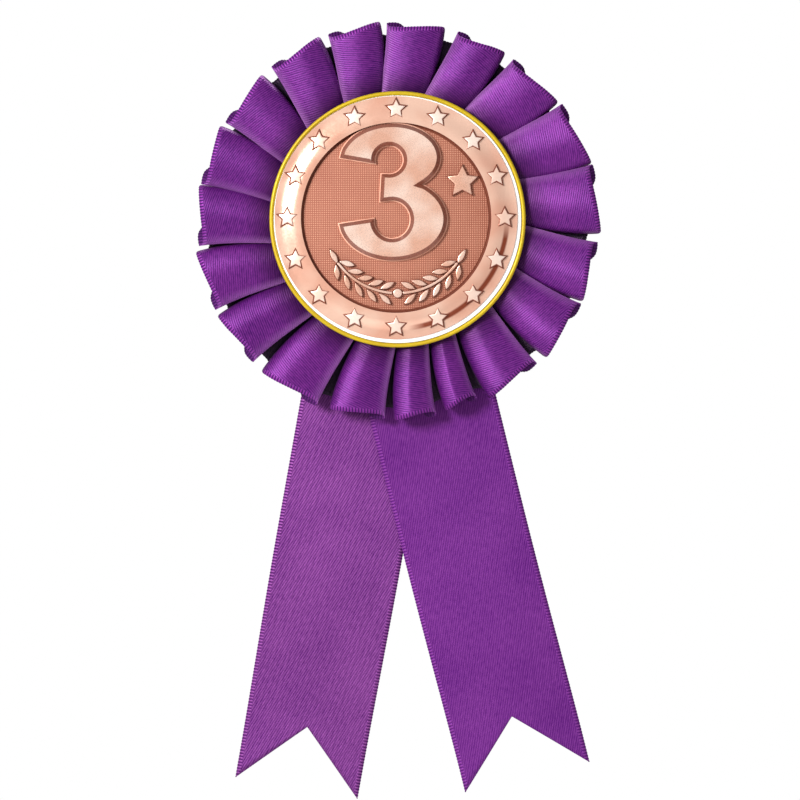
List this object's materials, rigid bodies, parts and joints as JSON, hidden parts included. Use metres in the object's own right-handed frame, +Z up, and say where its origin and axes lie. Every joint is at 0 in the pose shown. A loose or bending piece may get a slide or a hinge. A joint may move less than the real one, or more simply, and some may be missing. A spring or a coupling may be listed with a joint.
{
  "type": "award rosette ribbon",
  "caption": "Pleated satin award rosette with an embossed bronze medallion in a gold ring, two swallowtail ribbon tails and a bar pin with a safety catch on its back.",
  "frame": {"origin": "middle of the bar pin's needle, with the pin closed", "axes": "+Z up, -Y the front of the rosette, +X along the needle towards its point"},
  "size_m": [0.1052, 0.0188, 0.2046],
  "materials": {
    "purple_satin": "polyester satin ribbon with a woven picot edge",
    "purple_thread": "sewing thread",
    "grey_board": "pressed paperboard, as light as soft wood",
    "white_card": "smooth white paper card",
    "white_foam": "double-sided polyethylene foam",
    "hot_glue": "cloudy hot-melt adhesive",
    "backplate_plastic": "moulded black plastic",
    "gold_ring": "polished gold plate",
    "bronze_insert": "bronze vacuum-metallised, embossed plastic",
    "staple_wire": "galvanised flat wire",
    "pin_steel": "nickel-plated steel",
    "needle_steel": "polished nickel-plated wire"
  },
  "bodies": {
    "root": {"core_card": "grey_board", "back_card": "white_card", "hub_card": "grey_board", "ruffle_ribbon": "purple_satin", "gathering_thread": "purple_thread", "left_streamer_anchor": "purple_satin", "right_streamer_anchor": "purple_satin", "staples": "staple_wire", "glue_dots": "hot_glue", "medallion_foam": "white_foam", "medallion_backplate": "backplate_plastic", "medallion_card": "white_card", "medallion_rim": "gold_ring", "medal_insert": "bronze_insert", "pin_pad": "white_foam", "pin_base": "pin_steel", "pin_rivet": "pin_steel"},
    "left_tail": {"left_streamer": "purple_satin"},
    "right_tail": {"right_streamer": "purple_satin"},
    "pin_arm": {"pin_arm": "needle_steel"},
    "pin_catch": {"pin_catch": "pin_steel"}
  },
  "joints": [
    {"name": "left_tail_swing", "type": "hinge", "parent": "root", "child": "left_tail", "pos_m": [-0.00581, -0.0049, -0.05059], "axis": [0.9845, 0, -0.1754], "range_deg": [0, 60]},
    {"name": "right_tail_swing", "type": "hinge", "parent": "root", "child": "right_tail", "pos_m": [0.01032, -0.0056, -0.07141], "axis": [-0.9711, 0, -0.2385], "range_deg": [0, 60]},
    {"name": "pin_arm_open", "type": "hinge", "parent": "root", "child": "pin_arm", "pos_m": [-0.014, 0, 0], "axis": [0, 0, 1], "range_deg": [0, 95]},
    {"name": "pin_catch_turn", "type": "hinge", "parent": "root", "child": "pin_catch", "pos_m": [0.015, 0, 0], "axis": [1, 0, 0], "range_deg": [0, 90]}
  ]
}
